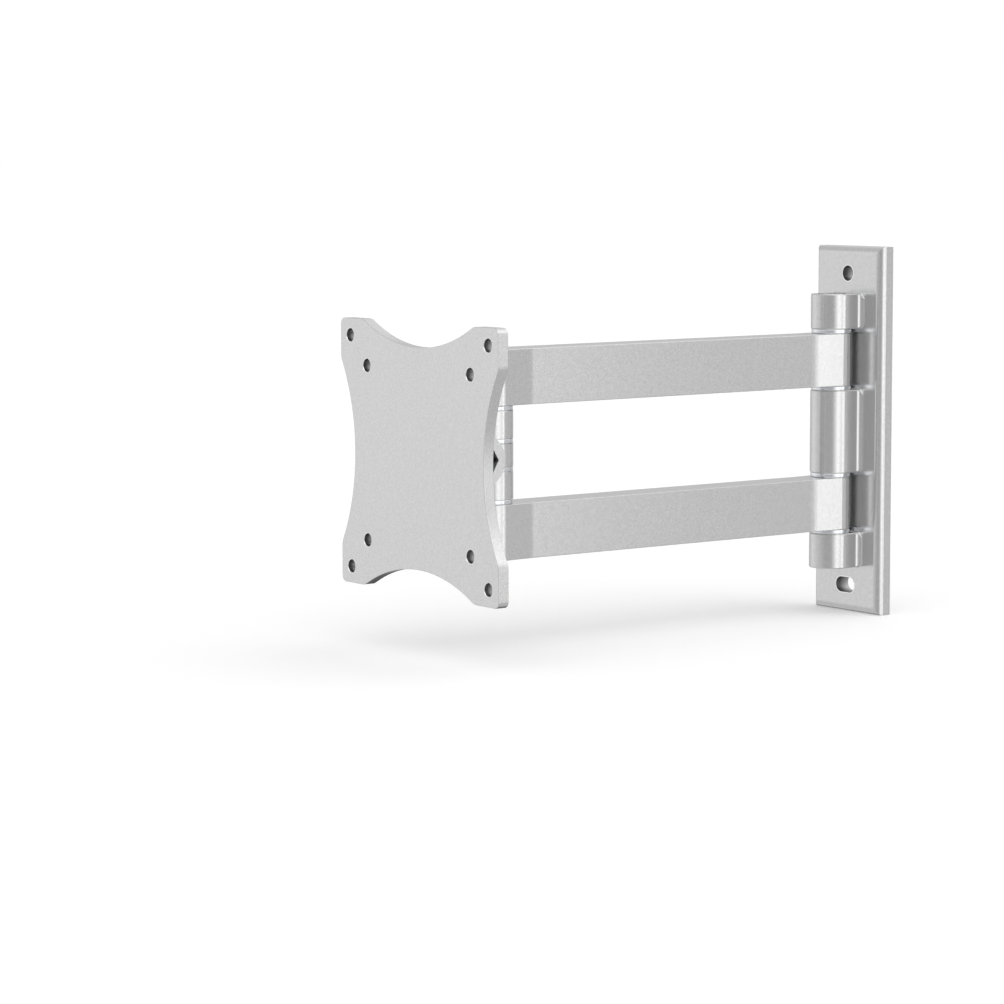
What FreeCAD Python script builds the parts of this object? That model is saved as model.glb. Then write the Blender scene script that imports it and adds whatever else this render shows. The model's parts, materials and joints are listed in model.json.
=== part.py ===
import FreeCAD, Part
import math
import os

# Full motion wall mount for a small flat screen: a wall bracket with three
# knuckles, two parallel swing arms, a swivelling head block and a tilting
# screen plate.  Millimetres.
#
# Frame: the origin is the centre of the wall bracket's back face.  +Z is up,
# +Y points into the wall, the screen is on the -Y side and +X is on the right
# of someone who looks at the wall.

os.makedirs("parts", exist_ok=True)

V = FreeCAD.Vector
X_AXIS, Y_AXIS, Z_AXIS = V(1, 0, 0), V(0, 1, 0), V(0, 0, 1)

# ---- driving dimensions -----------------------------------------------------

RUN = 0.05                  # running clearance of every turning fit and face

# wall bracket
WALL_W, WALL_T, WALL_H = 44.5, 7.5, 169.0
WALL_ROUND = 3.45           # round-over of the four front edges
KNUCKLE_R = 9.5
KNUCKLE_TOP = 63.0          # top of the top knuckle, bottom of the bottom one
KNUCKLE_GAP = 47.0          # inner face of the two outer knuckles
KNUCKLE_MID = 19.0          # half height of the middle knuckle
ROOT_SIDE, ROOT_END = 3.0, 0.5      # root fillets along and across each knuckle
WALL_HOLE_R = 3.5
WALL_HOLE_Z = 72.1
SLOT_LENGTH = 12.4

# swing arms
REACH = 193.5               # wall pivot to head pivot
ARM_END_R = 9.3
ARM_HALF_T = 8.0            # half thickness of the bar between its ends
ARM_TOP, ARM_BOTTOM = 45.0, 21.0
HEAD_FLARE, WALL_FLARE = 15.3, 17.0     # pivot to where the bar starts
HEAD_BLEND, WALL_BLEND = 22.0, 45.0     # radius where each flare meets the bar
WALL_END_HALF_T = 9.4       # the wall end has flat sides and a shallow round back
WALL_END_FRONT, WALL_END_CORNER, WALL_END_BACK = -1.0, 2.4, 8.1     # from the pivot
WALL_END_ROUND = 4.0
ARM_EDGE = 0.3

# pivots: one long pin each, a screw and a washer at both ends
WALL_PIVOT_Y = -17.3
HEAD_PIVOT_Y = WALL_PIVOT_Y - REACH
PIN_R = 5.0
BUSH_R = 6.5
SINK_R = 6.4                # counterbore for a pin screw and its washer
M6_R, M6_HEAD_R, M6_HEAD_H, M6_SOCKET = 3.0, 5.0, 6.0, 5.0
M6_LENGTH = 16.0
M6_WASHER_R, M6_WASHER_T = 6.2, 1.6
SINK_DEPTH = M6_HEAD_H + M6_WASHER_T

# bearing washers in every gap of both hinges
WASHER_R, WASHER_T = 9.2, 2.0

# head: two spacers above and below the knuckle of the head block
HEAD_KNUCKLE = 5.0          # half height of the head block's knuckle
SPACER_TOP = 19.0
WEB_HALF_W = 7.5
BARREL_R, BARREL_HALF = 10.2, 11.5

# tilt joint
TILT_OFFSET = 21.8          # tilt axis in front of the head pivot
TILT_Y = HEAD_PIVOT_Y - TILT_OFFSET
EAR_R = 11.0
EAR_INNER, EAR_OUTER = 12.5, 24.5
M8_R, M8_HEAD_R, M8_HEAD_H, M8_SOCKET = 4.0, 6.5, 5.0, 5.0
M8_NUT, M8_NUT_H = 13.0, 6.5        # across flats, height
M8_SINK_R, M8_SINK_DEPTH = 8.0, 7.0
SPRING_R, SPRING_T = 7.4, 1.6
NUT_POCKET = 9.5
TILT_BUSH_R = 6.0
HEAD_SEAT = -EAR_OUTER + M8_SINK_DEPTH - SPRING_T       # under the bolt's head
NUT_SEAT = EAR_OUTER - NUT_POCKET

# screen plate, with the 75 and 100 mm screen hole patterns
PLATE_HALF = 57.25
PLATE_T = 5.1
PLATE_FRONT = -249.3
PLATE_BACK = PLATE_FRONT + PLATE_T
PLATE_CORNER = 2.75
WAIST = 46.85               # half width at the middle of each hollow side
TAB = 40.0                  # where each hollow side starts
TAB_ROUND = 7.0
PLATE_EDGE = 0.25
SCREEN_HOLE_R = 2.75
SCREEN_PATTERNS = (75.0, 100.0)

# small edges and gaps
BREAK = 0.4                 # edge break of castings and pins
RING_EDGE = 0.2             # outer edge break of washers and spacers
HEAD_EDGE = 0.6             # round-over of a screw's head
HOLE_RIM = 0.3              # edge break of the screen holes
EAR_ROOT = 0.5              # fillet where an ear leaves the plate
THREAD_GAP = 0.02           # between a tapped hole and its screw
PIN_RECESS = 0.2            # a pin's end below the seat of its washer
WASHER_PLAY = 0.2           # between a plain washer and its screw
SPRING_PLAY, SPRING_SPLIT = 0.3, 1.2
NUT_PLAY = 0.15             # pocket over the nut's flats
BOLT_TIP = 0.8              # bolt beyond its nut
FRICTION_STEP = 0.5         # friction washer's edge inside the barrel's
BUSH_MEET = 0.1             # half the gap between the two tilt bushes
OVER = 1.0                  # how far a cutter passes the face it cuts
NEAR = 1e-3


# ---- helpers ----------------------------------------------------------------

def save(name, shape):
    shape.exportStep("parts/%s.step" % name)


def upright(r, bottom, top, y):
    """A cylinder along Z."""
    return Part.makeCylinder(r, top - bottom, V(0, y, bottom), Z_AXIS)


def across(r, left, right):
    """A cylinder along the tilt axis."""
    return Part.makeCylinder(r, right - left, V(left, TILT_Y, 0), X_AXIS)


def through(r, y, thick, x, z):
    """A cutter along Y, through a plate whose front face is at y."""
    return Part.makeCylinder(r, thick + 2 * OVER, V(x, y - OVER, z), Y_AXIS)


def box(x0, x1, y0, y1, z0, z1):
    return Part.makeBox(x1 - x0, y1 - y0, z1 - z0, V(x0, y0, z0))


def hexagon(flats, length, base, axis, corner):
    """A hexagonal prism that starts at base; one corner points along corner."""
    radius = flats / math.sqrt(3)
    side = axis.cross(corner)
    points = []
    for i in range(7):
        a = math.radians(60 * i)
        points.append(base + corner * (radius * math.cos(a)) + side * (radius * math.sin(a)))
    return Part.Face(Part.makePolygon(points)).extrude(axis * length)


def edges_where(shape, test):
    return [e for e in shape.Edges if test(e)]


def lies_at(edge, axis, value):
    """True when the whole edge has this coordinate along the axis."""
    ends = edge.BoundBox
    low = V(ends.XMin, ends.YMin, ends.ZMin) * axis
    high = V(ends.XMax, ends.YMax, ends.ZMax) * axis
    return abs(low - value) < NEAR and abs(high - value) < NEAR


def faces_rim(shape, axis, low, high):
    """The edges that lie in the two end faces across the axis."""
    return edges_where(shape, lambda e: lies_at(e, axis, low) or lies_at(e, axis, high))


def ring(outer, inner, bottom, top, y):
    """An upright ring with broken outer edges."""
    body = upright(outer, bottom, top, y)
    body = body.makeChamfer(RING_EDGE, faces_rim(body, Z_AXIS, bottom, top))
    return body.cut(upright(inner, bottom - OVER, top + OVER, y))


def cap_screw(head_r, head_h, socket, shank_r, length, seat, axis, corner):
    """A socket screw: its head sits on seat and its shank runs along axis."""
    crown = seat - axis * head_h
    head = Part.makeCylinder(head_r, head_h, crown, axis)
    top = edges_where(head, lambda e: e.Curve.TypeId == "Part::GeomCircle"
                      and (e.Curve.Center - crown).Length < NEAR)
    body = head.makeFillet(HEAD_EDGE, top).fuse(Part.makeCylinder(shank_r, length, seat, axis))
    body = body.cut(hexagon(socket, head_h / 2 + OVER, crown - axis * OVER, axis, corner))
    return body.removeSplitter()


# ---- wall bracket -----------------------------------------------------------

def wall_bracket():
    """Back plate with three knuckles, cast in one piece."""
    half_w, half_h = WALL_W / 2, WALL_H / 2
    plate = box(-half_w, half_w, -WALL_T, 0, -half_h, half_h)
    plate = plate.makeFillet(WALL_ROUND, edges_where(plate, lambda e: lies_at(e, Y_AXIS, -WALL_T)))
    levels = ((KNUCKLE_GAP, KNUCKLE_TOP), (-KNUCKLE_MID, KNUCKLE_MID), (-KNUCKLE_TOP, -KNUCKLE_GAP))
    body = plate
    for bottom, top in levels:
        nose = upright(KNUCKLE_R, bottom, top, WALL_PIVOT_Y)
        neck = box(-KNUCKLE_R, KNUCKLE_R, WALL_PIVOT_Y, -WALL_T / 2, bottom, top)
        long_edges = edges_where(neck, lambda e: e.BoundBox.YLength > BREAK)
        nose = nose.makeChamfer(BREAK, faces_rim(nose, Z_AXIS, bottom, top))
        body = body.fuse(nose.fuse(neck.makeChamfer(BREAK, long_edges)).removeSplitter())
    body = body.removeSplitter()

    def root(edge, reach):
        ends = edge.BoundBox
        return lies_at(edge, Y_AXIS, -WALL_T) and max(abs(ends.XMin), abs(ends.XMax)) < reach + NEAR
    sides = edges_where(body, lambda e: root(e, KNUCKLE_R) and e.BoundBox.ZLength > BREAK * 2)
    body = body.makeFillet(ROOT_SIDE, sides)
    ends = edges_where(body, lambda e: root(e, KNUCKLE_R + ROOT_SIDE) and e.BoundBox.ZLength < BREAK * 2)
    body = body.makeFillet(ROOT_END, ends)

    below, above = -KNUCKLE_TOP - OVER, KNUCKLE_TOP + OVER
    body = body.cut(upright(PIN_R + RUN, below, above, WALL_PIVOT_Y))
    body = body.cut(upright(SINK_R, KNUCKLE_TOP - SINK_DEPTH, above, WALL_PIVOT_Y))
    body = body.cut(upright(SINK_R, below, SINK_DEPTH - KNUCKLE_TOP, WALL_PIVOT_Y))

    body = body.cut(through(WALL_HOLE_R, -WALL_T, WALL_T, 0, WALL_HOLE_Z))
    half_run = SLOT_LENGTH / 2 - WALL_HOLE_R
    slot = box(-half_run, half_run, -WALL_T - OVER, OVER,
               -WALL_HOLE_Z - WALL_HOLE_R, -WALL_HOLE_Z + WALL_HOLE_R)
    for x in (-half_run, half_run):
        slot = slot.fuse(through(WALL_HOLE_R, -WALL_T, WALL_T, x, -WALL_HOLE_Z))
    return body.cut(slot.removeSplitter())


# ---- hinge pins and what sits on them ---------------------------------------

def hinge_pin(half, y):
    """A pin with a tapped hole in each end."""
    pin = upright(PIN_R, -half, half, y)
    pin = pin.makeChamfer(BREAK, faces_rim(pin, Z_AXIS, -half, half))
    tapped_r = M6_R + THREAD_GAP
    pin = pin.cut(upright(tapped_r, half - M6_LENGTH, half + OVER, y))
    return pin.cut(upright(tapped_r, -half - OVER, M6_LENGTH - half, y))


def pin_screws(outer, y):
    """The two socket screws of a pin, heads flush with the outer faces."""
    seat = outer - M6_HEAD_H
    pair = [cap_screw(M6_HEAD_R, M6_HEAD_H, M6_SOCKET, M6_R, M6_LENGTH,
                      V(0, y, sign * seat), Z_AXIS * -sign, X_AXIS) for sign in (-1, 1)]
    return Part.makeCompound(pair)


def pin_washers(outer, y):
    """The two washers under the pin screws' heads."""
    top = outer - M6_HEAD_H
    pair = []
    for bottom, upper in ((top - M6_WASHER_T, top), (-top, M6_WASHER_T - top)):
        pair.append(ring(M6_WASHER_R, M6_R + WASHER_PLAY, bottom, upper, y))
    return Part.makeCompound(pair)


def bearing_washer(middle, y):
    return ring(WASHER_R, PIN_R + RUN, middle - WASHER_T / 2, middle + WASHER_T / 2, y)


def bush(bottom, top, y):
    return upright(BUSH_R, bottom, top, y).cut(upright(PIN_R + RUN, bottom - OVER, top + OVER, y))


# ---- swing arms -------------------------------------------------------------

def flare_touch(length):
    """Where the flare from the bar's corner touches the round end, for a pivot
    at the origin and a bar that starts at the distance length."""
    corner_angle = math.atan2(ARM_HALF_T, length)
    touch_angle = corner_angle + math.acos(ARM_END_R / math.hypot(ARM_HALF_T, length))
    return ARM_END_R * math.sin(touch_angle), ARM_END_R * math.cos(touch_angle)


def blend(before, corner, after, radius):
    """Three points of the arc that rounds the corner of an outline."""
    back, ahead = (before - corner).normalize(), (after - corner).normalize()
    half_angle = back.getAngle(ahead) / 2
    reach = radius / math.tan(half_angle)
    centre = corner + (back + ahead).normalize() * (radius / math.sin(half_angle))
    middle = centre + (corner - centre).normalize() * radius
    return corner + back * reach, middle, corner + ahead * reach


def arm_outline(z):
    """Plan of an arm: round head end, straight bar, flat-sided wall end."""
    head_x, head_run = flare_touch(HEAD_FLARE)
    touch = V(head_x, HEAD_PIVOT_Y + head_run, z)
    head_bar = V(ARM_HALF_T, HEAD_PIVOT_Y + HEAD_FLARE, z)
    wall_bar = V(ARM_HALF_T, WALL_PIVOT_Y - WALL_FLARE, z)
    flat_start = V(WALL_END_HALF_T, WALL_PIVOT_Y + WALL_END_FRONT, z)
    flat_end = V(WALL_END_HALF_T, WALL_PIVOT_Y + WALL_END_CORNER, z)
    head_arc = blend(touch, head_bar, wall_bar, HEAD_BLEND)
    wall_arc = blend(head_bar, wall_bar, flat_start, WALL_BLEND)
    right = [(touch, head_arc[0]), head_arc, (head_arc[-1], wall_arc[0]), wall_arc,
             (wall_arc[-1], flat_start), (flat_start, flat_end)]
    left = [tuple(V(-p.x, p.y, p.z) for p in reversed(piece)) for piece in reversed(right)]
    back = (flat_end, V(0, WALL_PIVOT_Y + WALL_END_BACK, z), left[0][0])
    front = (left[-1][-1], V(0, HEAD_PIVOT_Y - ARM_END_R, z), touch)
    edges = []
    for piece in right + [back] + left + [front]:
        curve = Part.Arc(*piece) if len(piece) == 3 else Part.LineSegment(*piece)
        edges.append(curve.toShape())
    return Part.Wire(edges)


def swing_arm(side):
    """side is 1 for the upper arm and -1 for the lower one, its mirror image."""
    bottom, top = ARM_BOTTOM + RUN, ARM_TOP - RUN
    arm = Part.Face(arm_outline(bottom)).extrude(V(0, 0, top - bottom))
    corners = edges_where(arm, lambda e: lies_at(e, Y_AXIS, WALL_PIVOT_Y + WALL_END_CORNER))
    arm = arm.makeFillet(WALL_END_ROUND, corners)
    arm = arm.makeFillet(ARM_EDGE, faces_rim(arm, Z_AXIS, bottom, top))
    arm = arm.cut(upright(PIN_R + RUN, bottom - OVER, top + OVER, HEAD_PIVOT_Y))
    arm = arm.cut(upright(SINK_R, top - SINK_DEPTH, top + OVER, HEAD_PIVOT_Y))
    arm = arm.cut(upright(BUSH_R, bottom - OVER, top + OVER, WALL_PIVOT_Y))
    return arm if side > 0 else arm.mirror(V(0, 0, 0), Z_AXIS)


# ---- head block -------------------------------------------------------------

def head_block():
    """Knuckle on the head pin, web, and the cross barrel of the tilt joint."""
    half = HEAD_KNUCKLE - RUN
    knuckle = upright(ARM_END_R, -half, half, HEAD_PIVOT_Y)
    web = box(-WEB_HALF_W, WEB_HALF_W, TILT_Y, HEAD_PIVOT_Y, -half, half)
    end = BARREL_HALF - RUN
    barrel = across(BARREL_R, -end, end)
    barrel = barrel.makeChamfer(BREAK, faces_rim(barrel, X_AXIS, -end, end))
    body = knuckle.fuse(web).fuse(barrel).removeSplitter()
    body = body.cut(upright(BUSH_R, -half - OVER, half + OVER, HEAD_PIVOT_Y))
    return body.cut(across(TILT_BUSH_R, -end - OVER, end + OVER))


def tilt_bush(side):
    """One of the two sleeves in the barrel; they meet near its middle."""
    inner, outer = sorted((side * BUSH_MEET, side * (BARREL_HALF - RUN)))
    return across(TILT_BUSH_R, inner, outer).cut(across(M8_R + RUN, inner - OVER, outer + OVER))


def friction_washer(side):
    """The disc between the barrel and an ear."""
    inner, outer = sorted((side * BARREL_HALF, side * EAR_INNER))
    disc = across(BARREL_R - FRICTION_STEP, inner, outer)
    return disc.cut(across(M8_R + RUN, inner - OVER, outer + OVER))


# ---- screen plate -----------------------------------------------------------

def plate_outline(y):
    """Square with four hollow sides, walked anticlockwise from the right side."""
    edges = []
    for quarter in range(4):
        a = math.radians(90 * quarter)
        out, along = V(math.cos(a), 0, math.sin(a)), V(-math.sin(a), 0, math.cos(a))
        base = V(0, y, 0)
        start = base + out * PLATE_HALF - along * PLATE_HALF
        tab_a = base + out * PLATE_HALF - along * TAB
        waist = base + out * WAIST
        tab_b = base + out * PLATE_HALF + along * TAB
        end = base + out * PLATE_HALF + along * PLATE_HALF
        edges.append(Part.LineSegment(start, tab_a).toShape())
        edges.append(Part.Arc(tab_a, waist, tab_b).toShape())
        edges.append(Part.LineSegment(tab_b, end).toShape())
    return Part.Wire(edges)


def plate_corner(edge, reach):
    """True for an edge through the plate, reach away from one of its middle lines."""
    place = edge.CenterOfMass
    near_middle = min(abs(place.x), abs(place.z))
    return edge.BoundBox.YLength > PLATE_T - NEAR and abs(near_middle - reach) < NEAR


def ear(side):
    """A lug for the tilt bolt: a block from the plate with a full round end."""
    inner, outer = sorted((side * EAR_INNER, side * EAR_OUTER))
    block = box(inner, outer, PLATE_BACK - OVER, TILT_Y, -EAR_R, EAR_R)
    return block.fuse(across(EAR_R, inner, outer)).removeSplitter()


def vesa_plate():
    """Screen plate and its two tilt ears, cast in one piece."""
    plate = Part.Face(plate_outline(PLATE_FRONT)).extrude(V(0, PLATE_T, 0))
    for radius, reach in ((TAB_ROUND, TAB), (PLATE_CORNER, PLATE_HALF)):
        plate = plate.makeFillet(radius, edges_where(plate, lambda e: plate_corner(e, reach)))
    plate = plate.makeFillet(PLATE_EDGE, faces_rim(plate, Y_AXIS, PLATE_FRONT, PLATE_BACK))
    body = plate.fuse(ear(-1)).fuse(ear(1)).removeSplitter()

    def ear_root(edge):
        ends = edge.BoundBox
        wide, high = max(abs(ends.XMin), abs(ends.XMax)), max(abs(ends.ZMin), abs(ends.ZMax))
        return lies_at(edge, Y_AXIS, PLATE_BACK) and wide < EAR_OUTER + NEAR and high < EAR_R + NEAR
    body = body.makeFillet(EAR_ROOT, edges_where(body, ear_root))

    body = body.cut(across(M8_R + RUN, -EAR_OUTER - OVER, EAR_OUTER + OVER))
    body = body.cut(across(M8_SINK_R, -EAR_OUTER - OVER, M8_SINK_DEPTH - EAR_OUTER))
    pocket_floor = V(NUT_SEAT, TILT_Y, 0)
    body = body.cut(hexagon(M8_NUT + NUT_PLAY, NUT_POCKET + OVER, pocket_floor, X_AXIS, Y_AXIS))
    halves = [spacing / 2 for spacing in SCREEN_PATTERNS]
    for x, z in [(half * a, half * b) for half in halves for a in (-1, 1) for b in (-1, 1)]:
        hole = through(SCREEN_HOLE_R, PLATE_FRONT, PLATE_T, x, z)
        rim = Part.makeCone(SCREEN_HOLE_R + HOLE_RIM, SCREEN_HOLE_R, HOLE_RIM, V(x, PLATE_FRONT, z), Y_AXIS)
        body = body.cut(hole.fuse(rim))
    return body


# ---- tilt bolt --------------------------------------------------------------

def tilt_bolt():
    length = NUT_SEAT + M8_NUT_H + BOLT_TIP - HEAD_SEAT
    return cap_screw(M8_HEAD_R, M8_HEAD_H, M8_SOCKET, M8_R, length,
                     V(HEAD_SEAT, TILT_Y, 0), X_AXIS, Y_AXIS)


def spring_washer():
    """Split ring under the bolt's head."""
    seat = HEAD_SEAT + SPRING_T
    disc = across(SPRING_R, HEAD_SEAT, seat)
    disc = disc.cut(across(M8_R + SPRING_PLAY, HEAD_SEAT - OVER, seat + OVER))
    half = SPRING_SPLIT / 2
    return disc.cut(box(HEAD_SEAT - OVER, seat + OVER, TILT_Y - half, TILT_Y + half, 0, SPRING_R + OVER))


def tilt_nut():
    nut = hexagon(M8_NUT, M8_NUT_H, V(NUT_SEAT, TILT_Y, 0), X_AXIS, Y_AXIS)
    corner_r = M8_NUT / math.sqrt(3)
    lead = corner_r - M8_NUT / 2
    cone_r = corner_r + M8_NUT_H - lead / 2
    cone = Part.makeCone(cone_r, cone_r - M8_NUT_H, M8_NUT_H, V(NUT_SEAT, TILT_Y, 0), X_AXIS)
    return nut.common(cone).cut(across(M8_R + THREAD_GAP, NUT_SEAT - OVER, NUT_SEAT + M8_NUT_H + OVER))


# ---- build ------------------------------------------------------------------

def main():
    save("wall_bracket", wall_bracket())
    save("upper_arm", swing_arm(1))
    save("lower_arm", swing_arm(-1))
    save("head_block", head_block())
    save("vesa_plate", vesa_plate())

    save("wall_pivot_pin", hinge_pin(KNUCKLE_TOP - SINK_DEPTH - PIN_RECESS, WALL_PIVOT_Y))
    save("wall_pin_screws", pin_screws(KNUCKLE_TOP, WALL_PIVOT_Y))
    save("wall_pin_end_washers", pin_washers(KNUCKLE_TOP, WALL_PIVOT_Y))
    arm_top = ARM_TOP - RUN
    save("head_pivot_pin", hinge_pin(arm_top - SINK_DEPTH - PIN_RECESS, HEAD_PIVOT_Y))
    save("head_pin_screws", pin_screws(arm_top, HEAD_PIVOT_Y))
    save("head_pin_end_washers", pin_washers(arm_top, HEAD_PIVOT_Y))

    outer_gap = (ARM_TOP + KNUCKLE_GAP) / 2
    inner_gap = (ARM_BOTTOM + KNUCKLE_MID) / 2
    wall_gaps = {"top": outer_gap, "upper": inner_gap, "lower": -inner_gap, "bottom": -outer_gap}
    for place, z in wall_gaps.items():
        save("wall_washer_%s" % place, bearing_washer(z, WALL_PIVOT_Y))
    knuckle_gap = HEAD_KNUCKLE + WASHER_T / 2
    head_gaps = {"top": inner_gap, "upper": knuckle_gap, "lower": -knuckle_gap, "bottom": -inner_gap}
    for place, z in head_gaps.items():
        save("head_washer_%s" % place, bearing_washer(z, HEAD_PIVOT_Y))

    spacer_low = HEAD_KNUCKLE + WASHER_T
    save("upper_spacer", ring(ARM_END_R, PIN_R + RUN, spacer_low, SPACER_TOP, HEAD_PIVOT_Y))
    save("lower_spacer", ring(ARM_END_R, PIN_R + RUN, -SPACER_TOP, -spacer_low, HEAD_PIVOT_Y))

    save("upper_arm_bush", bush(ARM_BOTTOM + RUN, arm_top, WALL_PIVOT_Y))
    save("lower_arm_bush", bush(-arm_top, -ARM_BOTTOM - RUN, WALL_PIVOT_Y))
    save("head_block_bush", bush(RUN - HEAD_KNUCKLE, HEAD_KNUCKLE - RUN, HEAD_PIVOT_Y))

    for side, name in ((-1, "left"), (1, "right")):
        save("tilt_bush_%s" % name, tilt_bush(side))
        save("tilt_friction_washer_%s" % name, friction_washer(side))
    save("tilt_bolt", tilt_bolt())
    save("tilt_spring_washer", spring_washer())
    save("tilt_nut", tilt_nut())


main()
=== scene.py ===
# %% [markdown]
# # A full motion wall mount in silver castings
#
# The mount holds a small flat screen. A bracket on the wall carries two
# parallel arms on one upright pin. At their far end a second pin carries a
# small head, and a screen plate tilts on the head. This lesson starts from the
# measured model of the mount, gives every piece its finish, and builds again
# the small turned, threaded and sprung pieces, whose real surface has more to
# show than the measured solid has.

# %% Load the measured model
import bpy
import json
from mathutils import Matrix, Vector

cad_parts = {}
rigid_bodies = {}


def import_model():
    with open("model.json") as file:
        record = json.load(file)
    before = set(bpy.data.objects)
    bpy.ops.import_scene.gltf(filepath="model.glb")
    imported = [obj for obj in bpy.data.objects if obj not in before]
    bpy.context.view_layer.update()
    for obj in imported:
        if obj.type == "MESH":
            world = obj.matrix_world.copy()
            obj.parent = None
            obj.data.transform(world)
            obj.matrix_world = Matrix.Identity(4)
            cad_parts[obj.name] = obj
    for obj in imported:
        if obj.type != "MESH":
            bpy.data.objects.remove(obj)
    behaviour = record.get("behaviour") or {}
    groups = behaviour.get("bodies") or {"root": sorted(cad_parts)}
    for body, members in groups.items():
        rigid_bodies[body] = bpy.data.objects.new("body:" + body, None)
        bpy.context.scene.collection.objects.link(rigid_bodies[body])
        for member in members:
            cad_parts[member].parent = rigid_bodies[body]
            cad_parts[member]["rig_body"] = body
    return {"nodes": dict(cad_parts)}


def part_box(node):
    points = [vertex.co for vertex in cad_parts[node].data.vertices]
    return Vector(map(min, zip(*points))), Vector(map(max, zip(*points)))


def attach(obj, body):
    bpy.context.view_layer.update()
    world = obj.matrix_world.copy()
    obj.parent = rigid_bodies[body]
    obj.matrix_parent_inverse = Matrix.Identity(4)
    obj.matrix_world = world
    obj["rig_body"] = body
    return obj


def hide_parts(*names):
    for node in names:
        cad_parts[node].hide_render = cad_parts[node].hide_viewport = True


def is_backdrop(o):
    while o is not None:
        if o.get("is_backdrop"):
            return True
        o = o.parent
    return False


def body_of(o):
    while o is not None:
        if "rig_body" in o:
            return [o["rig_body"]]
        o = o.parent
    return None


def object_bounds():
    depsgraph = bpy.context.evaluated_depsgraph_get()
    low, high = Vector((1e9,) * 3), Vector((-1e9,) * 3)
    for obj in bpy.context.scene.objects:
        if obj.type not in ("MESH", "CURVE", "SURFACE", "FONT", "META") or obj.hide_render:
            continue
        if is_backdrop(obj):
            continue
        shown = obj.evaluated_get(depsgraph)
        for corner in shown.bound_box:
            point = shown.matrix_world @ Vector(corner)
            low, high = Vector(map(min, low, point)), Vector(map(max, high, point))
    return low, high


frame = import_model()
cad_low, cad_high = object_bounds()
nodes = frame["nodes"]

# %% Tools of the lesson
import json
import math

import bmesh
import bpy
from mathutils import Euler, Matrix, Vector

MM = 0.001
scene = bpy.context.scene
print("size in mm:", [round(v / MM, 1) for v in cad_high - cad_low])

# %% [markdown]
# ## The studio
#
# A silver object shows its surroundings more than its own colour, so the room
# is made first. Lamps alone would leave most of the room black, and black is
# what the metal would show. The whole sky is therefore drawn as one soft
# gradient: a horizon that changes with the direction, a bright ceiling and a
# darker ground. The eye sees that sky as plain white. The floor is plain and
# pale. It glows a little, so that it stays white beside the sky, and it is kept
# out of the metal's reflections.

# %% The floor
FLOOR_SIZE = 60.0
bpy.ops.object.select_all(action="DESELECT")
bpy.ops.mesh.primitive_plane_add(size=FLOOR_SIZE, location=(0, 0, cad_low.z))
floor = bpy.context.object
floor.name = "studio_floor"
floor.visible_glossy = floor.visible_diffuse = floor.visible_shadow = False
floor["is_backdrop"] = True
print("floor at", round(cad_low.z, 4))

# %% [markdown]
# ## Nodes in short
#
# Every finish below is a small tree of nodes: coordinates go in, patterns come
# out, and the patterns drive the colour, the gloss and the bumps. Four helpers
# keep those trees readable. `put` adds a node and fills its sockets by name,
# `calc` adds a Math node, `spread` maps a pattern to a range of values, and
# `finish_of` starts a material with its Principled shader.

# %% Helpers for node trees


def fill(tree, socket, value):
    """A socket gets a number, or a link from another node's output."""
    if isinstance(value, bpy.types.NodeSocket):
        tree.links.new(value, socket)
    else:
        socket.default_value = value


def put(tree, kind, **inputs):
    """A new node, with its inputs by name; an underscore stands for a space."""
    node = tree.nodes.new("ShaderNode" + kind)
    for name, value in inputs.items():
        fill(tree, node.inputs[name.replace("_", " ")], value)
    return node


def calc(tree, operation, *values):
    """The result of a Math node."""
    node = tree.nodes.new("ShaderNodeMath")
    node.operation = operation
    for socket, value in zip(node.inputs, values):
        fill(tree, socket, value)
    return node.outputs[0]


def spread(tree, value, low, high, out_low=0.0, out_high=1.0, smooth=False):
    """Maps low to out_low and high to out_high."""
    node = put(tree, "MapRange", Value=value)
    node.interpolation_type = "SMOOTHSTEP" if smooth else "LINEAR"
    ends = {"From Min": low, "From Max": high, "To Min": out_low, "To Max": out_high}
    for name, number in ends.items():
        fill(tree, node.inputs[name], number)
    return node.outputs["Result"]


def finish_of(name):
    """A new material with its tree and its Principled shader."""
    material = bpy.data.materials.new(name)
    material.use_nodes = True
    return material, material.node_tree, material.node_tree.nodes["Principled BSDF"]


NOISE = (0.3, 0.7)           # a Noise texture seldom leaves this range
PAPER_TONE, PAPER_GLOW = (0.98, 1.0), 0.12
paper, paper_tree, paper_shader = finish_of("pale_floor_paper")
fibre = put(paper_tree, "TexNoise", Scale=40.0, Detail=4.0)
fibre_tone = spread(paper_tree, fibre.outputs["Fac"], *NOISE, *PAPER_TONE)
fill(paper_tree, paper_shader.inputs["Base Color"], fibre_tone)
paper_shader.inputs["Roughness"].default_value = 1.0
paper_shader.inputs["Specular IOR Level"].default_value = 0.0
paper_shader.inputs["Emission Color"].default_value = (1, 1, 1, 1)
paper_shader.inputs["Emission Strength"].default_value = PAPER_GLOW
floor.data.materials.append(paper)
print("floor paper:", len(paper_tree.nodes), "nodes")

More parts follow.
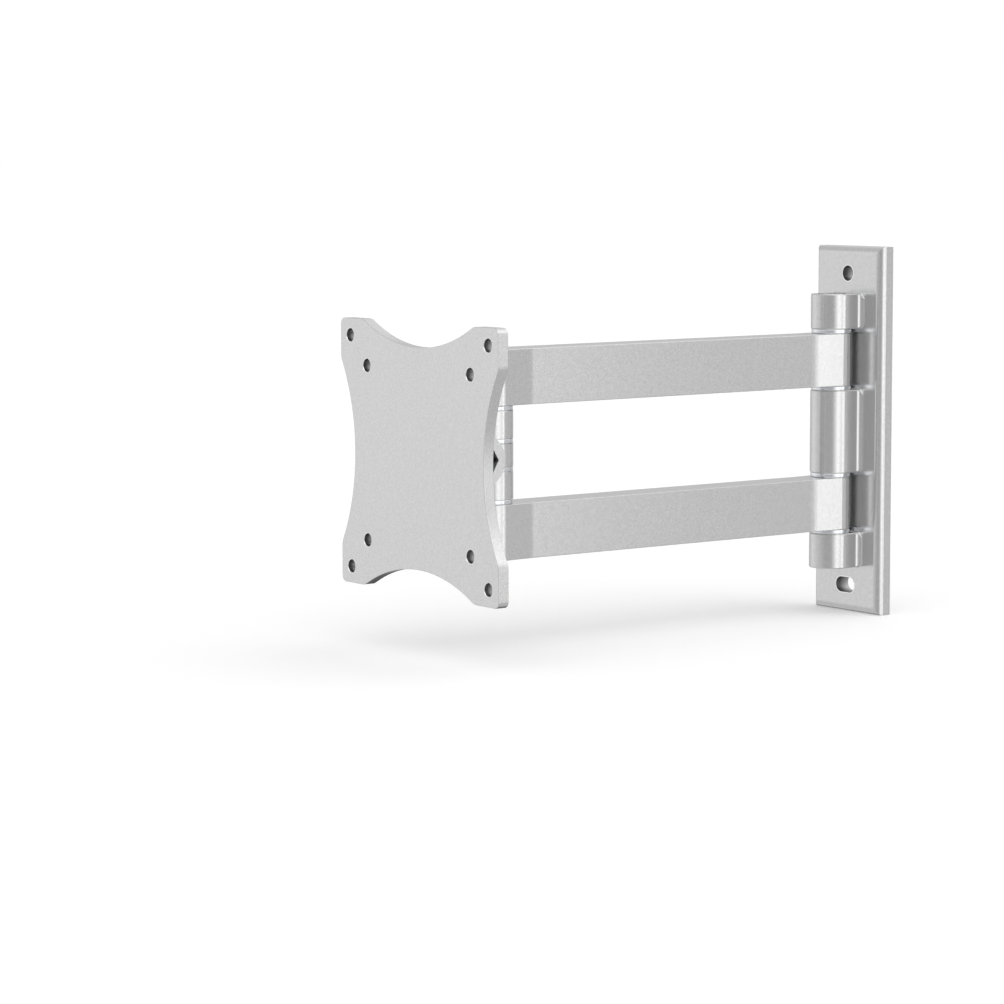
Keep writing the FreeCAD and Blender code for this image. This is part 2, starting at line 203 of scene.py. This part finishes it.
# %% The horizon
HORIZON = ((-180, 0.62), (-140, 0.6), (-110, 0.55), (-60, 0.54), (-46, 0.57), (-38, 0.58),
           (-34.5, 0.62), (-32.8, 1.8), (-28.5, 1.7), (-26, 1.05), (-17, 1.05), (-11, 1.3),
           (2, 1.45), (13, 1.05), (22, 0.7), (34, 0.43), (66, 0.42), (85, 0.54), (105, 0.64),
           (125, 0.72), (144, 0.88), (165, 0.84), (180, 0.62))    # degrees, brightness
RANGE = 2.0                  # the ramp holds brightness up to one, so it is scaled by this
world = bpy.data.worlds.new("studio_sky")
scene.world = world
world.use_nodes = True
sky = world.node_tree
where = put(sky, "TexCoord").outputs["Generated"]
side, back, height = put(sky, "SeparateXYZ", Vector=where).outputs
around = calc(sky, "ARCTAN2", calc(sky, "MULTIPLY", back, -1.0), side)
ramp = put(sky, "ValToRGB", Fac=calc(sky, "MULTIPLY_ADD", around, 0.5 / math.pi, 0.5))
stops = ramp.color_ramp.elements
for azimuth, value in HORIZON[1:-1]:
    stops.new(azimuth / 360 + 0.5)
for stop, (azimuth, value) in zip(stops, HORIZON):
    stop.color = (value / RANGE, value / RANGE, value / RANGE, 1)
horizon = calc(sky, "MULTIPLY", ramp.outputs["Color"], RANGE)
print("horizon of", len(stops), "stops; azimuth 0 is +X and 90 is the screen's side")

# %% The ceiling and the ground
CEILING = (0.6, 0.84, 1.25)  # brightness on the left in front, on the left behind, on the right
GROUND = (0.6, 0.08, 0.55)   # the same three for the ground
LEFT_TO_RIGHT = (-0.45, 0.4)
FRONT_TO_BACK = (0.2, 0.5)
CEILING_STARTS, CEILING_FULL = (0.25, 0.12), 0.6    # heights; it starts lower on the right
GROUND_STARTS, GROUND_FULL = -0.04, -0.5


def blend_to(level, value, amount):
    """Fades a brightness to another one, by an amount from 0 to 1."""
    node = put(sky, "Mix", Factor=amount, A=level, B=value)
    return node.outputs["Result"]


def by_direction(left_front, left_back, right):
    """A brightness that changes from left to right, and on the left from front to back."""
    left = spread(sky, back, *FRONT_TO_BACK, left_front, left_back, smooth=True)
    return spread(sky, side, *LEFT_TO_RIGHT, left, right, smooth=True)


ceiling_start = spread(sky, side, *LEFT_TO_RIGHT, *CEILING_STARTS, smooth=True)
in_ceiling = spread(sky, height, ceiling_start, CEILING_FULL, smooth=True)
in_ground = spread(sky, height, GROUND_STARTS, GROUND_FULL, smooth=True)
level = blend_to(horizon, by_direction(*CEILING), in_ceiling)
level = blend_to(level, by_direction(*GROUND), in_ground)
seen = put(sky, "LightPath").outputs["Is Camera Ray"]
background = sky.nodes["Background"]
fill(sky, background.inputs["Strength"], blend_to(level, 1.0, seen))
fill(sky, background.inputs["Color"], (1, 1, 1, 1))
print("sky nodes:", len(sky.nodes))

# %% The camera
CAMERA_PLACE = (1.1465, -1.0518, 0.1307)
CAMERA_TURN, CAMERA_DOWN, CAMERA_ROLL = 53.56, 6.07, -0.11
LENS, SENSOR = 120.2, 36.0
camera_data = bpy.data.cameras.new("camera")
camera = bpy.data.objects.new("camera", camera_data)
scene.collection.objects.link(camera)
camera_data.lens, camera_data.sensor_width = LENS, SENSOR
camera_data.clip_start, camera_data.clip_end = 0.01, 100
camera.location = CAMERA_PLACE
turn = Euler((math.radians(90 - CAMERA_DOWN), 0, math.radians(CAMERA_TURN)), "XYZ").to_matrix()
roll = Euler((0, 0, math.radians(CAMERA_ROLL)), "XYZ").to_matrix()
camera.rotation_euler = (turn @ roll).to_euler()
scene.camera = camera
scene.view_settings.view_transform = "Standard"
print("camera looks along", [round(v, 3) for v in -(turn @ roll).col[2]])

# %% [markdown]
# ## Satin silver on castings
#
# The bracket, the arms, the head and the screen plate are die castings with a
# silver finish. Flat silver looks like grey plastic, so the finish gets what
# makes metal paint lively: a grain of tiny flakes that tilt the surface a
# little and sparkle in the highlights, gloss that changes with the flakes, and
# a slow drift of tone over each casting. Drilled holes and pockets aren't
# coated. The same tree finds them by their place and paints shade into them:
# the holes dark at the mouth and lighter deep inside, as painted light from
# the far opening, and the nut's pocket evenly dark. A narrow uncoated rim round
# each hole is painted white as a highlight.

# %% The silver tree
FLAKE_SCALE = 1600.0
SKIN_SCALE, SKIN_HEIGHT = 2400.0, 0.000015
SILVER = (0.715, 0.775)
SATIN = (0.16, 0.24)
DRIFT_SCALE, DRIFT_SHARE = 22.0, 0.15
METAL_SHARE = 0.92
# The rim tone paints a white ring round each hole, a painted highlight on its uncoated rim.
RIM_PAINTED_HIGHLIGHT = 1.0
# The hole tones are painted shade: dark at the mouth, and lighter deep inside as painted light from
# the far opening.
PAINTED_HOLE_SHADE, HOLE_GLOSS = (0.13, 0.5), 0.35    # tone at the mouth, and deep inside


def silver(name, holes=None):
    """Silver casting finish. holes gives masks: inside, how deep, and the rim, for painted shade in
    holes and a painted highlight on their rims.
    """
    material, tree, shader = finish_of(name)
    place = put(tree, "TexCoord").outputs["Object"]
    cells = put(tree, "TexVoronoi", Vector=place, Scale=FLAKE_SCALE).outputs["Color"]
    flakes = put(tree, "SeparateColor", Color=cells).outputs["Red"]
    skin = put(tree, "TexNoise", Vector=place, Scale=SKIN_SCALE, Detail=2.0).outputs["Fac"]
    drift = put(tree, "TexNoise", Vector=place, Scale=DRIFT_SCALE, Detail=2.0).outputs["Fac"]
    grain = calc(tree, "MULTIPLY", flakes, 1.0 - DRIFT_SHARE)
    mixed = calc(tree, "MULTIPLY_ADD", drift, DRIFT_SHARE, grain)
    tone = spread(tree, mixed, 0.1, 0.9, *SILVER)
    gloss = spread(tree, skin, *NOISE, *SATIN)
    if holes:
        x, y, z = put(tree, "SeparateXYZ", Vector=place).outputs
        inside, depth, rim = holes(tree, x, y, z)
        # Painted highlight: a white ring on each hole's uncoated rim.
        tone = spread(tree, rim, 0.0, 1.0, tone, RIM_PAINTED_HIGHLIGHT)
        # Painted shade inside holes and the pocket: dark at the mouth, lighter deep inside as painted
        # light.
        shade_in_hole = spread(tree, depth, 0.3, 0.9, *PAINTED_HOLE_SHADE)
        tone = spread(tree, inside, 0.0, 1.0, tone, shade_in_hole)
        gloss = spread(tree, inside, 0.0, 1.0, gloss, HOLE_GLOSS)
    bump = put(tree, "Bump", Strength=1.0, Distance=SKIN_HEIGHT, Height=skin)
    fill(tree, shader.inputs["Base Color"], tone)
    fill(tree, shader.inputs["Roughness"], gloss)
    fill(tree, shader.inputs["Normal"], bump.outputs["Normal"])
    shader.inputs["Metallic"].default_value = METAL_SHARE
    return material


satin_silver = silver("satin_silver_casting")
print("silver:", len(satin_silver.node_tree.nodes), "nodes")

# %% Uncoated holes of the screen plate, with painted shade and rim highlights
tilt_axis = sum(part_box("tilt_bolt"), Vector()) / 2
PATTERNS = [spacing * MM / 2 for spacing in (75.0, 100.0)]    # from the middle to a hole
PLATE_DEPTH = 5.1 * MM
SCREEN_HOLE = 2.8 * MM       # radii here reach a little past the holes' own
# Width of the uncoated rim round each hole that is painted white as a highlight.
UNCOATED_RIM_HIGHLIGHT = 0.4 * MM
POCKET = 8.05 * MM
POCKET_FLOOR, EAR_FACE = 14.9 * MM, 24.45 * MM


def within(tree, distance, limit):
    """One where the distance is below the limit, and zero elsewhere."""
    return calc(tree, "LESS_THAN", distance, limit)


def far_from(tree, a, a_place, b, b_place):
    """Distance from a line along the third axis, at these two places."""
    da = calc(tree, "SUBTRACT", a, a_place)
    db = calc(tree, "SUBTRACT", b, b_place)
    squares = calc(tree, "ADD", calc(tree, "POWER", da, 2.0), calc(tree, "POWER", db, 2.0))
    return calc(tree, "SQRT", squares)


def plate_holes(tree, x, y, z):
    """Masks for painted shade in the eight screen holes and the nut's pocket in the ear, and for the
    painted rim highlight round the holes.
    """
    wide, high = calc(tree, "ABSOLUTE", x), calc(tree, "ABSOLUTE", z)
    near = calc(tree, "MINIMUM", *[far_from(tree, wide, half, high, half) for half in PATTERNS])
    in_hole = within(tree, near, SCREEN_HOLE)
    around_axis = within(tree, far_from(tree, y, tilt_axis.y, z, tilt_axis.z), POCKET)
    in_ear = calc(tree, "MULTIPLY", within(tree, wide, EAR_FACE),
                  calc(tree, "GREATER_THAN", wide, POCKET_FLOOR))
    inside = calc(tree, "MAXIMUM", in_hole, calc(tree, "MULTIPLY", around_axis, in_ear))
    depth = calc(tree, "MULTIPLY", spread(tree, y, cad_low.y, cad_low.y + PLATE_DEPTH), in_hole)
    return inside, depth, within(tree, near, SCREEN_HOLE + UNCOATED_RIM_HIGHLIGHT)


plate_silver = silver("satin_silver_screen_plate", plate_holes)
print("screen plate silver:", len(plate_silver.node_tree.nodes), "nodes")

# %% Uncoated holes of the wall bracket, with painted shade and rim highlights
WALL_HOLE, WALL_HOLE_HEIGHT, SLOT_RUN = 3.54 * MM, 72.1 * MM, 2.7 * MM
WALL_DEPTH = 7.5 * MM


def bracket_holes(tree, x, y, z):
    """Masks for painted shade in the round wall hole at the top and the slot at the bottom, and for
    their painted rim highlight.
    """
    run = calc(tree, "MULTIPLY", calc(tree, "LESS_THAN", z, 0.0), SLOT_RUN)
    wide = calc(tree, "MAXIMUM", calc(tree, "SUBTRACT", calc(tree, "ABSOLUTE", x), run), 0.0)
    high = calc(tree, "ABSOLUTE", z)
    near = far_from(tree, wide, 0.0, high, WALL_HOLE_HEIGHT)
    depth = spread(tree, y, -WALL_DEPTH, 0.0)
    return within(tree, near, WALL_HOLE), depth, within(tree, near, WALL_HOLE + UNCOATED_RIM_HIGHLIGHT)


bracket_silver = silver("satin_silver_bracket", bracket_holes)
print("bracket silver:", len(bracket_silver.node_tree.nodes), "nodes")

# %% [markdown]
# ## Turned and drawn steel
#
# Turned pieces keep the rings of the tool. Rings need an axis, so the finish
# takes the height and the distance from the piece's own axis, and a noise that
# changes fast in those two and not around the piece draws the rings. Steel is a
# mirror for the sky, so each finish needs only its tint and its gloss.

# %% The turned tree
CLOUD_SCALE, CLOUD_SHARE = 350.0, 0.6
UNEVEN = (0.88, 1.08)
MARK_DEPTH = 0.000004


def turned(name, centre, tint, gloss, metal=1.0, rings=9000.0, along="Z"):
    """Steel or plastic with turning marks round an axis through centre."""
    material, tree, shader = finish_of(name)
    place = put(tree, "TexCoord").outputs["Object"]
    moved = put(tree, "Mapping", Vector=place, Location=[-v for v in centre]).outputs["Vector"]
    x, y, z = put(tree, "SeparateXYZ", Vector=moved).outputs
    if along == "X":
        x, z = z, x
    radius = far_from(tree, x, 0.0, y, 0.0)
    marks_at = put(tree, "CombineXYZ", X=radius, Y=0.0, Z=z).outputs["Vector"]
    marks = put(tree, "TexNoise", Vector=marks_at, Scale=rings, Detail=2.0).outputs["Fac"]
    cloud = put(tree, "TexNoise", Vector=place, Scale=CLOUD_SCALE, Detail=3.0).outputs["Fac"]
    uneven = calc(tree, "MULTIPLY_ADD", cloud, CLOUD_SHARE,
                  calc(tree, "MULTIPLY", marks, 1.0 - CLOUD_SHARE))
    light = spread(tree, uneven, *NOISE, *UNEVEN)
    colour = put(tree, "VectorMath", Vector=tint)
    colour.operation = "SCALE"
    fill(tree, colour.inputs["Scale"], light)
    bump = put(tree, "Bump", Strength=1.0, Distance=MARK_DEPTH, Height=marks)
    fill(tree, shader.inputs["Base Color"], colour.outputs["Vector"])
    fill(tree, shader.inputs["Roughness"], spread(tree, marks, *NOISE, *gloss))
    fill(tree, shader.inputs["Normal"], bump.outputs["Normal"])
    shader.inputs["Metallic"].default_value = metal
    return material


wall_axis = sum(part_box("wall_pivot_pin"), Vector()) / 2
head_axis = sum(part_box("head_pivot_pin"), Vector()) / 2
axes = {"wall": wall_axis, "head": head_axis, "tilt": tilt_axis}


def family(name, joints, tint, gloss, **more):
    """One turned finish for each joint, round that joint's own axis."""
    return {joint: turned(name + "_at_" + joint, axes[joint], tint, gloss,
                          along="X" if joint == "tilt" else "Z", **more) for joint in joints}


HINGES = ("wall", "head")
chrome = family("polished_washer", HINGES, (0.9, 0.92, 0.95), (0.05, 0.1))
pin_steel = family("ground_pin", HINGES, (0.6, 0.6, 0.61), (0.18, 0.3))
zinc = family("zinc_plated", axes, (0.6, 0.62, 0.66), (0.22, 0.4), rings=4000.0)
plastic = family("bearing_plastic", axes, (0.045, 0.046, 0.05), (0.38, 0.55), rings=2500.0, metal=0.0)
spring = turned("oiled_spring_steel", tilt_axis, (0.16, 0.165, 0.18), (0.25, 0.42), rings=5000.0,
                along="X")
print("turned finishes:", len(chrome) + len(pin_steel) + len(zinc) + len(plastic) + 1)

# %% Finishes for the measured pieces


def joint_of(name):
    """Which of the three joints a piece sits on, by its place."""
    middle = sum(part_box(name), Vector()) / 2
    return min(axes, key=lambda joint: abs(axes[joint].y - middle.y))


families = {"polished_washer": chrome, "bright_steel": pin_steel, "zinc_steel": zinc,
            "bearing_plastic": plastic}
for name, node in nodes.items():
    slot_name = node.data.materials[0].name.split(".")[0]
    if slot_name in families:
        node.data.materials[0] = families[slot_name][joint_of(name)]
    elif slot_name == "spring_steel":
        node.data.materials[0] = spring
    else:
        node.data.materials[0] = satin_silver
nodes["vesa_plate"].data.materials[0] = plate_silver
nodes["wall_bracket"].data.materials[0] = bracket_silver
print("finishes given to", len(nodes), "nodes")

# %% [markdown]
# ## Working in edit mode from a script
#
# The small steel pieces are built again below, as one would by hand: add a
# primitive at its size, go into edit mode, select by place or direction, and
# use the edit operators. An operator acts on everything that is selected, so
# each step starts with nothing selected. Every piece is built round the origin
# with its axis upright, and is then set down in its place.

# %% Helpers for modelling
mesh = bpy.ops.mesh
HEIGHT_SLACK, RADIUS_SLACK = 0.01 * MM, 0.05 * MM


def fresh():
    """Object mode, with nothing selected."""
    if bpy.context.object and bpy.context.object.mode != "OBJECT":
        bpy.ops.object.mode_set(mode="OBJECT")
    bpy.ops.object.select_all(action="DESELECT")


def only(piece):
    """Object mode, with this piece selected and active."""
    fresh()
    piece.select_set(True)
    bpy.context.view_layer.objects.active = piece


def settle(name):
    """Names the new primitive and puts its place and turn into its mesh."""
    piece = bpy.context.object
    piece.name = piece.data.name = name
    only(piece)
    bpy.ops.object.transform_apply(location=True, rotation=True, scale=True)
    return piece


def pick(piece, kind, test):
    """Edit mode, with the faces, edges or vertices selected for which test is true."""
    only(piece)
    bpy.ops.object.mode_set(mode="EDIT")
    mesh.select_mode(type=kind)
    mesh.select_all(action="DESELECT")
    work = bmesh.from_edit_mesh(piece.data)
    parts = {"VERT": work.verts, "EDGE": work.edges, "FACE": work.faces}[kind]
    chosen = [part for part in parts if test(part)]
    for part in chosen:
        part.select_set(True)
    work.select_flush_mode()
    bmesh.update_edit_mesh(piece.data)
    return len(chosen)


def edge_ring(radius, height):
    """Test for the edges of a horizontal circle round the upright axis."""
    def test(edge):
        return all(abs(v.co.z - height) < HEIGHT_SLACK
                   and abs(v.co.xy.length - radius) < RADIUS_SLACK for v in edge.verts)
    return test


def finish_shape(piece, angle=35):
    """Outward faces, and smooth shading up to this angle between faces."""
    pick(piece, "FACE", lambda face: True)
    mesh.normals_make_consistent(inside=False)
    if bmesh.from_edit_mesh(piece.data).calc_volume(signed=True) < 0:
        mesh.flip_normals()
    only(piece)
    bpy.ops.object.shade_smooth_by_angle(angle=math.radians(angle))
    return piece


def carve(piece, tool, operation="DIFFERENCE"):
    """Cuts the tool out of the piece, or keeps what both share, and removes the tool."""
    only(piece)
    cut = piece.modifiers.new("cut", "BOOLEAN")
    cut.object, cut.operation, cut.solver = tool, operation, "EXACT"
    bpy.ops.object.modifier_apply(modifier="cut")
    bpy.data.objects.remove(tool)


print("modelling helpers ready")

# %% Copying and setting down


def set_down(pattern, name, place, turned_by=None):
    """A copy of the pattern with its own mesh, turned and then moved to its place."""
    only(pattern)
    bpy.ops.object.duplicate()
    if turned_by is not None:
        bpy.context.object.matrix_world = turned_by.to_4x4()
        bpy.ops.object.transform_apply(location=True, rotation=True, scale=True)
    bpy.ops.transform.translate(value=place)
    return settle(name)


def stand_in(piece, node_name, finish):
    """The piece rides with the body of a measured node, and is shown in its stead."""
    piece.data.materials.clear()
    piece.data.materials.append(finish)
    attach(piece, body_of(nodes[node_name])[0])
    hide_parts(node_name)
    print(node_name, "->", piece.name, len(piece.data.polygons), "faces")


# %% [markdown]
# ## Bearing washers
#
# Eight polished washers part the turning pieces. Such a washer is turned and
# then tumbled, so its rims are round and catch a line of light. It could be a
# lathe profile, but a ring is quicker: a cylinder, an inset on both ends, a
# bridge between the two inner discs to open the hole, and a bevel on the rims.

# %% One bearing washer
washer_low, washer_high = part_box("wall_washer_top")
WASHER_R = (washer_high.x - washer_low.x) / 2
WASHER_T = washer_high.z - washer_low.z
WASHER_HOLE = 5.1 * MM
WASHER_RIM = 0.35 * MM
fresh()
mesh.primitive_cylinder_add(vertices=96, radius=WASHER_R, depth=WASHER_T)
washer = settle("washer_pattern")
pick(washer, "FACE", lambda face: abs(face.normal.z) > 0.9)
mesh.inset(thickness=WASHER_R - WASHER_HOLE)
mesh.bridge_edge_loops()
for top in (WASHER_T / 2, -WASHER_T / 2):
    pick(washer, "EDGE", edge_ring(WASHER_R, top))
    mesh.bevel(offset=WASHER_RIM, segments=4, affect="EDGES")
    pick(washer, "EDGE", edge_ring(WASHER_HOLE, top))
    mesh.bevel(offset=WASHER_RIM / 2, segments=2, affect="EDGES")
finish_shape(washer)
print("washer", round(WASHER_R / MM, 2), "mm radius,", round(WASHER_T / MM, 2), "mm thick")

# %% Eight washers in their gaps
for name in [name for name in nodes if name.startswith(("wall_washer_", "head_washer_"))]:
    middle = sum(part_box(name), Vector()) / 2
    copy = set_down(washer, name.replace("washer", "bearing_washer"), middle)
    stand_in(copy, name, chrome[joint_of(name)])
bpy.data.objects.remove(washer)

# %% [markdown]
# ## Threads
#
# A thread is one small profile swept round the axis while it climbs by its
# pitch. The Screw modifier does just that. The profile starts as one edge of a
# plane. Subdivided, its two middle points move outward, and that is one tooth.
# The sweep is longer than needed, and two bisect cuts with filled ends give it
# clean ends.

# %% A threaded rod
THREAD_STEPS = 40
THREAD_DEPTH = 0.55          # as a share of the pitch
WELD, CUT_SLACK = 0.002 * MM, 0.0001 * MM


def threaded(name, radius, depth, pitch, bottom, top):
    """An upright threaded rod with flat ends."""
    fresh()
    inner = radius - depth
    mesh.primitive_plane_add(size=pitch, location=(inner, 0, 0), rotation=(math.pi / 2, 0, 0))
    rod = settle(name)
    pick(rod, "FACE", lambda face: True)
    mesh.delete(type="ONLY_FACE")
    pick(rod, "VERT", lambda vert: vert.co.x > inner)
    mesh.delete(type="VERT")
    pick(rod, "VERT", lambda vert: True)
    bpy.ops.transform.translate(value=(pitch / 2, 0, 0))
    mesh.select_mode(type="EDGE")
    mesh.select_all(action="SELECT")
    mesh.subdivide(number_cuts=4)
    pick(rod, "VERT", lambda vert: abs(vert.co.z) < pitch * 0.2)
    bpy.ops.transform.translate(value=(depth, 0, 0))
    pick(rod, "VERT", lambda vert: True)
    bpy.ops.transform.translate(value=(0, 0, bottom - pitch))
    only(rod)
    sweep = rod.modifiers.new("sweep", "SCREW")
    sweep.axis, sweep.angle, sweep.screw_offset = "Z", 2 * math.pi, pitch
    sweep.iterations = math.ceil((top - bottom) / pitch) + 3
    sweep.steps = sweep.render_steps = THREAD_STEPS
    bpy.ops.object.modifier_apply(modifier="sweep")
    pick(rod, "VERT", lambda vert: True)
    mesh.remove_doubles(threshold=WELD)
    for height, keep_above in ((bottom, True), (top, False)):
        pick(rod, "VERT", lambda vert: True)
        mesh.bisect(plane_co=(0, 0, height), plane_no=(0, 0, 1), threshold=CUT_SLACK,
                    use_fill=True, clear_inner=keep_above, clear_outer=not keep_above)
    return finish_shape(rod)


print("thread tool ready,", THREAD_STEPS, "steps a turn")

# %% [markdown]
# ## Socket screws
#
# Socket screws hold both hinge pins, and a bigger one is the tilt bolt. Their
# heads are knurled for the fingers, round at the top, and have a hexagonal
# socket. The head is a cylinder with a bevelled crown. For the knurl every
# second side face is inset and pushed in. A six-sided cylinder cuts the socket,
# and the threaded rod from above becomes the shank.

# %% A socket screw, crown up, with its seat at height zero
KNURLS = 36
CROWN, SEAT_EDGE = 0.12, 0.04              # bevels, as shares of the head's radius
GROOVE_EDGE, GROOVE_DEPTH = 0.012, 0.03    # also shares of the head's radius
SHANK_GAP = 0.02                           # between seat and shank, as a share of the head's height


def socket_screw(name, head_r, head_h, socket, shank_r, pitch, length):
    """A knurled head with a hexagonal socket, joined to a threaded shank."""
    fresh()
    mesh.primitive_cylinder_add(vertices=2 * KNURLS, radius=head_r, depth=head_h,
                                location=(0, 0, head_h / 2))
    screw = settle(name)
    pick(screw, "EDGE", edge_ring(head_r, head_h))
    mesh.bevel(offset=head_r * CROWN, segments=4, affect="EDGES")
    pick(screw, "EDGE", edge_ring(head_r, 0))
    mesh.bevel(offset=head_r * SEAT_EDGE, segments=1, affect="EDGES")

    def groove(face):
        """Every second face of the head's side."""
        middle = face.calc_center_median()
        step = math.atan2(middle.y, middle.x) / (math.pi / KNURLS)
        return abs(face.normal.z) < 0.01 and round(step - 0.5) % 2 == 0
    pick(screw, "FACE", groove)
    mesh.inset(thickness=head_r * GROOVE_EDGE, depth=-head_r * GROOVE_DEPTH, use_individual=True)
    fresh()
    mesh.primitive_cylinder_add(vertices=6, radius=socket / math.sqrt(3), depth=head_h,
                                location=(0, 0, head_h), rotation=(0, 0, math.radians(30)))
    carve(screw, settle("socket_tool"))
    finish_shape(screw, 25)
    shank_top = -head_h * SHANK_GAP
    thread = threaded("shank", shank_r, pitch * THREAD_DEPTH, pitch, -length, shank_top)
    only(screw)
    thread.select_set(True)
    bpy.ops.object.join()
    return screw


M6_HEAD = 6.0 * MM
pin_screw = socket_screw("pin_screw_pattern", head_r=5.0 * MM, head_h=M6_HEAD, socket=5.0 * MM,
                         shank_r=3.0 * MM, pitch=1.0 * MM, length=15.5 * MM)
print("pin screw:", len(pin_screw.data.polygons), "faces")

# %% Two screws for each hinge pin
over = Euler((math.pi, 0, 0), "XYZ").to_matrix()
for hinge in HINGES:
    name = hinge + "_pin_screws"
    low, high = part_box(name)
    middle = (low + high) / 2
    upper = set_down(pin_screw, hinge + "_socket_screws", (middle.x, middle.y, high.z - M6_HEAD))
    lower = set_down(pin_screw, "lower_screw", (middle.x, middle.y, low.z + M6_HEAD), over)
    only(upper)
    lower.select_set(True)
    bpy.ops.object.join()
    stand_in(upper, name, zinc[hinge])
bpy.data.objects.remove(pin_screw)

# %% The tilt bolt
bolt_low, bolt_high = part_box("tilt_bolt")
BOLT_HEAD, BOLT_R = 5.0 * MM, 4.0 * MM
bolt_length = bolt_high.x - bolt_low.x - BOLT_HEAD
bolt_pattern = socket_screw("bolt_pattern", head_r=6.5 * MM, head_h=BOLT_HEAD, socket=5.0 * MM,
                            shank_r=BOLT_R, pitch=1.25 * MM, length=bolt_length)
crown_left = Euler((0, -math.pi / 2, 0), "XYZ").to_matrix()
bolt_seat = (bolt_low.x + BOLT_HEAD, tilt_axis.y, tilt_axis.z)
bolt = set_down(bolt_pattern, "tilt_socket_bolt", bolt_seat, crown_left)
stand_in(bolt, "tilt_bolt", zinc["tilt"])
bpy.data.objects.remove(bolt_pattern)

# %% [markdown]
# ## The nut and the spring washer
#
# A nut is a hexagon whose corners are turned off, so each side ends in a curve.
# Keeping what a hexagonal prism shares with a bevelled cylinder gives exactly
# those curves. A spring washer is a flat wire bent to a ring with a split. When
# loose, one end stands up, but here the bolt presses it flat. Its section is a
# plane that spins round the axis and stops before it closes.

# %% The tilt nut
nut_low, nut_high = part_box("tilt_nut")
NUT_H = nut_high.x - nut_low.x
NUT_CORNER = 13.0 * MM / math.sqrt(3)
ROUND_R = NUT_CORNER + 0.01 * MM
CORNER_TURN, BORE_TURN = 1.0 * MM, 0.5 * MM    # bevels on the corners and at the bore
half_up = (0, 0, NUT_H / 2)
fresh()
mesh.primitive_cylinder_add(vertices=6, radius=NUT_CORNER, depth=NUT_H, location=half_up)
nut_pattern = settle("nut_pattern")
fresh()
mesh.primitive_cylinder_add(vertices=96, radius=ROUND_R, depth=NUT_H, location=half_up)
turned_round = settle("nut_tool")
for height in (0, NUT_H):
    pick(turned_round, "EDGE", edge_ring(ROUND_R, height))
    mesh.bevel(offset=CORNER_TURN, segments=1, affect="EDGES")
carve(nut_pattern, turned_round, "INTERSECT")
fresh()
mesh.primitive_cylinder_add(vertices=64, radius=BOLT_R, depth=NUT_H * 2, location=half_up)
carve(nut_pattern, settle("bore_tool"))
for height in (0, NUT_H):
    pick(nut_pattern, "EDGE", edge_ring(BOLT_R, height))
    mesh.bevel(offset=BORE_TURN, segments=1, affect="EDGES")
finish_shape(nut_pattern)
to_right = Euler((0, math.pi / 2, 0), "XYZ").to_matrix()
nut_place = (nut_low.x, tilt_axis.y, tilt_axis.z)
nut = set_down(nut_pattern, "tilt_hexagon_nut", nut_place, to_right)
stand_in(nut, "tilt_nut", zinc["tilt"])
bpy.data.objects.remove(nut_pattern)

# %% The spring washer
spring_low, spring_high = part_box("tilt_spring_washer")
SPRING_OUT, SPRING_IN = 7.3 * MM, 4.4 * MM
SPRING_T = spring_high.x - spring_low.x
SPRING_PLAY, SPRING_TURN, SPRING_BEVEL = 0.1 * MM, 350, 0.2 * MM    # the turn is in degrees
wire_middle = ((SPRING_OUT + SPRING_IN) / 2, 0, SPRING_T / 2)
fresh()
mesh.primitive_plane_add(size=1, location=wire_middle, rotation=(math.pi / 2, 0, 0))
bpy.context.object.scale = (SPRING_OUT - SPRING_IN, SPRING_T - SPRING_PLAY, 1)
spring_pattern = settle("spring_pattern")
pick(spring_pattern, "FACE", lambda face: True)
mesh.spin(steps=90, angle=math.radians(SPRING_TURN), center=(0, 0, 0), axis=(0, 0, 1))
pick(spring_pattern, "FACE", lambda face: True)
mesh.normals_make_consistent(inside=False)


def long_edge(edge):
    """An edge that runs along the wire: both ends at one height and one radius."""
    a, b = edge.verts
    return (abs(a.co.z - b.co.z) < HEIGHT_SLACK
            and abs(a.co.xy.length - b.co.xy.length) < HEIGHT_SLACK)


pick(spring_pattern, "EDGE", long_edge)
mesh.bevel(offset=SPRING_BEVEL, segments=2, affect="EDGES")
finish_shape(spring_pattern)
split_up = Matrix(((0, 0, 1), (0, -1, 0), (1, 0, 0)))
spring_place = (spring_low.x, tilt_axis.y, tilt_axis.z)
spring_ring = set_down(spring_pattern, "tilt_spring_ring", spring_place, split_up)
stand_in(spring_ring, "tilt_spring_washer", spring)
bpy.data.objects.remove(spring_pattern)

# %% Finish
low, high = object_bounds()
